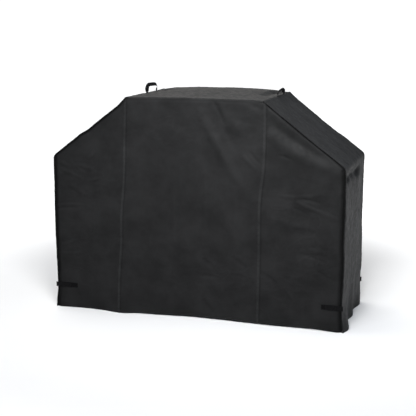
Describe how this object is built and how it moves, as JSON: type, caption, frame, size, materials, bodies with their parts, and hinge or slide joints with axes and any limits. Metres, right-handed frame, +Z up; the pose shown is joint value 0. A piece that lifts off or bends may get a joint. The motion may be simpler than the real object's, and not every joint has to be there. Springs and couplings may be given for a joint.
{
  "type": "grill cover",
  "caption": "Free-standing cloth grill cover with a flat top, sloped shoulders, two webbing handles and a hook-and-loop strap at each lower corner.",
  "frame": {"origin": "on the floor under the middle of the cover, level with the hem", "axes": "+X from the cover's left end to its right end as seen from the front, +Y from front to back, +Z up"},
  "size_m": [1.533, 0.581, 1.1748],
  "materials": {
    "cover_cloth": "charcoal black coated woven polyester, low sheen",
    "seam_tape": "matt black woven binding",
    "webbing": "matt black polyester webbing",
    "hook_tape": "black hook tape",
    "loop_tape": "black brushed loop tape"
  },
  "bodies": {
    "cover": {"top_panel": "cover_cloth", "front_center_panel": "cover_cloth", "front_left_panel": "cover_cloth", "front_right_panel": "cover_cloth", "back_center_panel": "cover_cloth", "back_left_panel": "cover_cloth", "back_right_panel": "cover_cloth", "left_side_panel": "cover_cloth", "right_side_panel": "cover_cloth", "front_left_seam_tape": "seam_tape", "front_right_seam_tape": "seam_tape", "back_left_seam_tape": "seam_tape", "back_right_seam_tape": "seam_tape", "front_left_corner_tape": "seam_tape", "front_right_corner_tape": "seam_tape", "back_left_corner_tape": "seam_tape", "back_right_corner_tape": "seam_tape", "front_top_tape": "seam_tape", "back_top_tape": "seam_tape", "left_top_tape": "seam_tape", "right_top_tape": "seam_tape", "front_left_loop_patch": "loop_tape", "front_right_loop_patch": "loop_tape", "back_left_loop_patch": "loop_tape", "back_right_loop_patch": "loop_tape"},
    "left_handle": {"left_handle": "webbing"},
    "right_handle": {"right_handle": "webbing"},
    "front_left_strap": {"front_left_strap": "webbing", "front_left_hook_tape": "hook_tape"},
    "front_right_strap": {"front_right_strap": "webbing", "front_right_hook_tape": "hook_tape"},
    "back_left_strap": {"back_left_strap": "webbing", "back_left_hook_tape": "hook_tape"},
    "back_right_strap": {"back_right_strap": "webbing", "back_right_hook_tape": "hook_tape"}
  },
  "joints": [
    {"name": "left_handle_hinge", "type": "hinge", "parent": "cover", "child": "left_handle", "pos_m": [-0.3555, 0.077, 1.12639], "axis": [0, 1, 0], "range_deg": [-100, 70]},
    {"name": "right_handle_hinge", "type": "hinge", "parent": "cover", "child": "right_handle", "pos_m": [0.3555, 0.077, 1.12639], "axis": [0, 1, 0], "range_deg": [-70, 100]},
    {"name": "front_left_strap_hinge", "type": "hinge", "parent": "cover", "child": "front_left_strap", "pos_m": [-0.7644, -0.2884, 0.125], "axis": [0, 0, -1], "range_deg": [0, 270]},
    {"name": "front_right_strap_hinge", "type": "hinge", "parent": "cover", "child": "front_right_strap", "pos_m": [0.7644, -0.2884, 0.125], "axis": [0, 0, 1], "range_deg": [0, 270]},
    {"name": "back_left_strap_hinge", "type": "hinge", "parent": "cover", "child": "back_left_strap", "pos_m": [-0.7644, 0.2884, 0.125], "axis": [0, 0, 1], "range_deg": [0, 270]},
    {"name": "back_right_strap_hinge", "type": "hinge", "parent": "cover", "child": "back_right_strap", "pos_m": [0.7644, 0.2884, 0.125], "axis": [0, 0, -1], "range_deg": [0, 270]}
  ]
}
